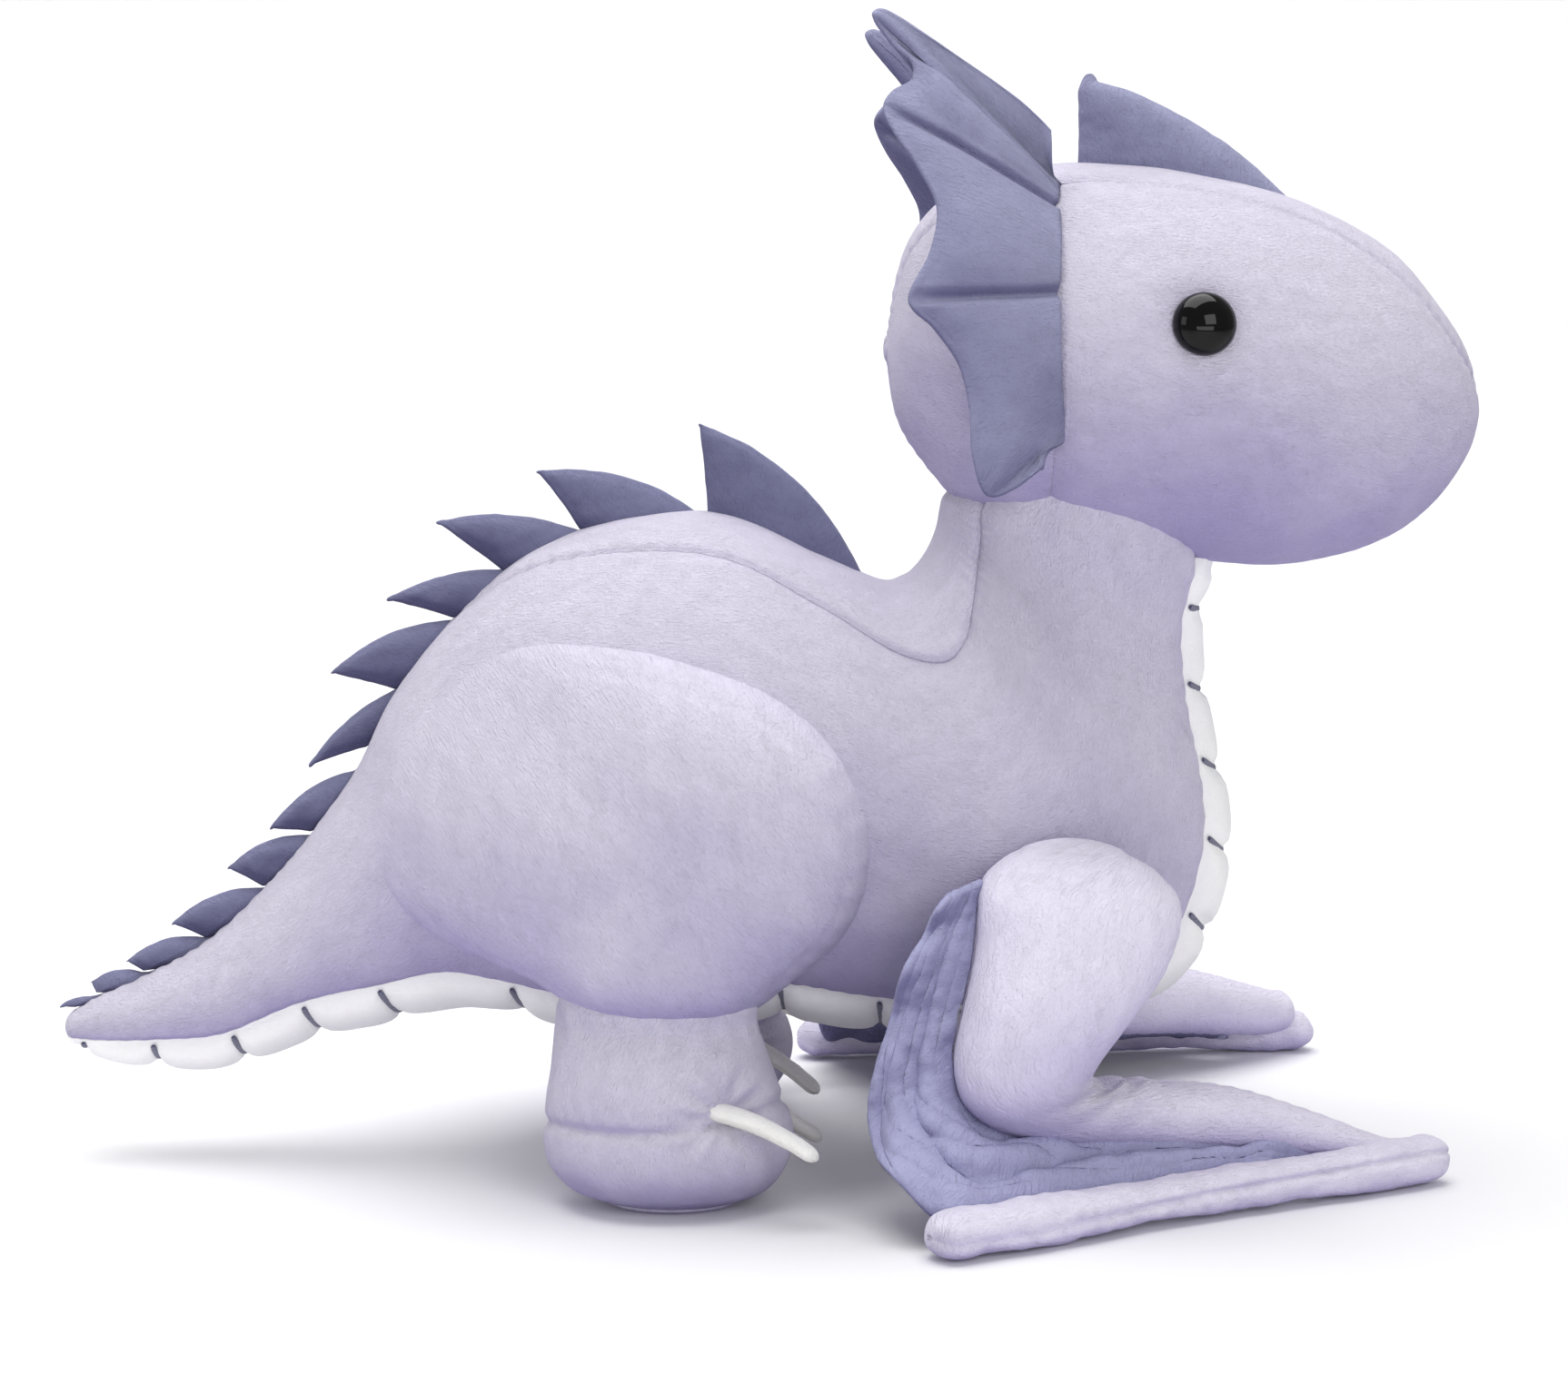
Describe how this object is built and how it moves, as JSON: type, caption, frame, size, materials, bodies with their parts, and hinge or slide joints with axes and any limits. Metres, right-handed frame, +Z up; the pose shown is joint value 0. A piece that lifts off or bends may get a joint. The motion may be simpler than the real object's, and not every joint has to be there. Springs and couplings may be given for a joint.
{
  "type": "plush winged dragon",
  "caption": "Soft toy dragon lying on its belly: stuffed body with quilted belly, fin ears, back spines, round thighs and folded cloth wings.",
  "frame": {"origin": "on the floor under the middle of the toy", "axes": "+X towards the nose, +Y towards the toy's left side, +Z up"},
  "size_m": [0.422, 0.2637, 0.3361],
  "materials": {
    "lilac_plush": "short cut pile, pale lavender",
    "slate_plush": "cut pile, slate periwinkle",
    "white_plush": "smooth white short pile, quilted",
    "embroidery": "slate embroidery thread",
    "suede": "white suede cloth",
    "stuffing": "loose polyester fibre fill",
    "eye": "polished black",
    "washer": "moulded white"
  },
  "bodies": {
    "torso": {"body_side_right": "lilac_plush", "body_side_left": "lilac_plush", "back_gusset": "lilac_plush", "belly_panel": "white_plush", "belly_stitches": "embroidery", "body_stuffing": "stuffing", "spine_1": "slate_plush", "spine_2": "slate_plush", "spine_3": "slate_plush", "spine_4": "slate_plush", "spine_5": "slate_plush", "spine_6": "slate_plush"},
    "head": {"face_side_right": "lilac_plush", "face_side_left": "lilac_plush", "head_gusset": "lilac_plush", "head_back_right": "lilac_plush", "head_back_left": "lilac_plush", "head_stuffing": "stuffing", "crest": "slate_plush", "eye_right": "eye", "eye_left": "eye", "eye_washer_right": "washer", "eye_washer_left": "washer"},
    "tail": {"tail_side_right": "lilac_plush", "tail_side_left": "lilac_plush", "tail_underside": "white_plush", "tail_stitches": "embroidery", "tail_stuffing": "stuffing", "spine_7": "slate_plush", "spine_8": "slate_plush", "spine_9": "slate_plush", "spine_10": "slate_plush", "spine_11": "slate_plush", "spine_12": "slate_plush"},
    "leg_right": {"thigh_right": "lilac_plush", "thigh_stuffing_right": "stuffing", "foot_right": "lilac_plush", "foot_stuffing_right": "stuffing", "sole_right": "lilac_plush", "claw_outer_right": "suede", "claw_inner_right": "suede"},
    "leg_left": {"thigh_left": "lilac_plush", "thigh_stuffing_left": "stuffing", "foot_left": "lilac_plush", "foot_stuffing_left": "stuffing", "sole_left": "lilac_plush", "claw_outer_left": "suede", "claw_inner_left": "suede"},
    "wing_right": {"arm_right": "lilac_plush", "membrane_right": "slate_plush"},
    "wing_left": {"arm_left": "lilac_plush", "membrane_left": "slate_plush"},
    "finger_right": {"finger_right": "lilac_plush"},
    "finger_left": {"finger_left": "lilac_plush"},
    "ear_right": {"ear_right": "slate_plush"},
    "ear_left": {"ear_left": "slate_plush"}
  },
  "joints": [
    {"name": "head_turn", "type": "hinge", "parent": "torso", "child": "head", "pos_m": [0.09425, -0.0099, 0.19025], "axis": [0.3054, 0, 0.9522], "range_deg": [-25, 25], "stiffness_Nm_per_rad": 1.5},
    {"name": "tail_sway", "type": "hinge", "parent": "torso", "child": "tail", "pos_m": [-0.105, -0.0099, 0.083], "axis": [-0.4049, 0, 0.9143], "range_deg": [-18, 18], "stiffness_Nm_per_rad": 1},
    {"name": "leg_swing_right", "type": "hinge", "parent": "torso", "child": "leg_right", "pos_m": [-0.0285, -0.0599, 0.098], "axis": [0, 1, 0], "range_deg": [-6, 12], "stiffness_Nm_per_rad": 3},
    {"name": "wing_lift_right", "type": "hinge", "parent": "torso", "child": "wing_right", "pos_m": [0.0875, -0.0629, 0.104], "axis": [-1, 0, 0], "range_deg": [0, 50], "stiffness_Nm_per_rad": 2},
    {"name": "wing_open_right", "type": "hinge", "parent": "wing_right", "child": "finger_right", "pos_m": [0.1945, -0.0459, 0.0072], "axis": [0, 0, 1], "range_deg": [0, 30], "stiffness_Nm_per_rad": 0.3, "deforming": ["membrane_right"]},
    {"name": "ear_fold_right", "type": "hinge", "parent": "head", "child": "ear_right", "pos_m": [0.0835, -0.0679, 0.25], "axis": [0, 0, 1], "range_deg": [-6, 30], "stiffness_Nm_per_rad": 0.02},
    {"name": "leg_swing_left", "type": "hinge", "parent": "torso", "child": "leg_left", "pos_m": [-0.0285, 0.0401, 0.098], "axis": [0, 1, 0], "range_deg": [-6, 12], "stiffness_Nm_per_rad": 3},
    {"name": "wing_lift_left", "type": "hinge", "parent": "torso", "child": "wing_left", "pos_m": [0.0875, 0.0431, 0.104], "axis": [1, 0, 0], "range_deg": [0, 50], "stiffness_Nm_per_rad": 2},
    {"name": "wing_open_left", "type": "hinge", "parent": "wing_left", "child": "finger_left", "pos_m": [0.18052, 0.12386, 0.0072], "axis": [0, 0, -1], "range_deg": [0, 30], "stiffness_Nm_per_rad": 0.3, "deforming": ["membrane_left"]},
    {"name": "ear_fold_left", "type": "hinge", "parent": "head", "child": "ear_left", "pos_m": [0.0835, 0.0481, 0.25], "axis": [0, 0, -1], "range_deg": [-6, 30], "stiffness_Nm_per_rad": 0.02}
  ]
}
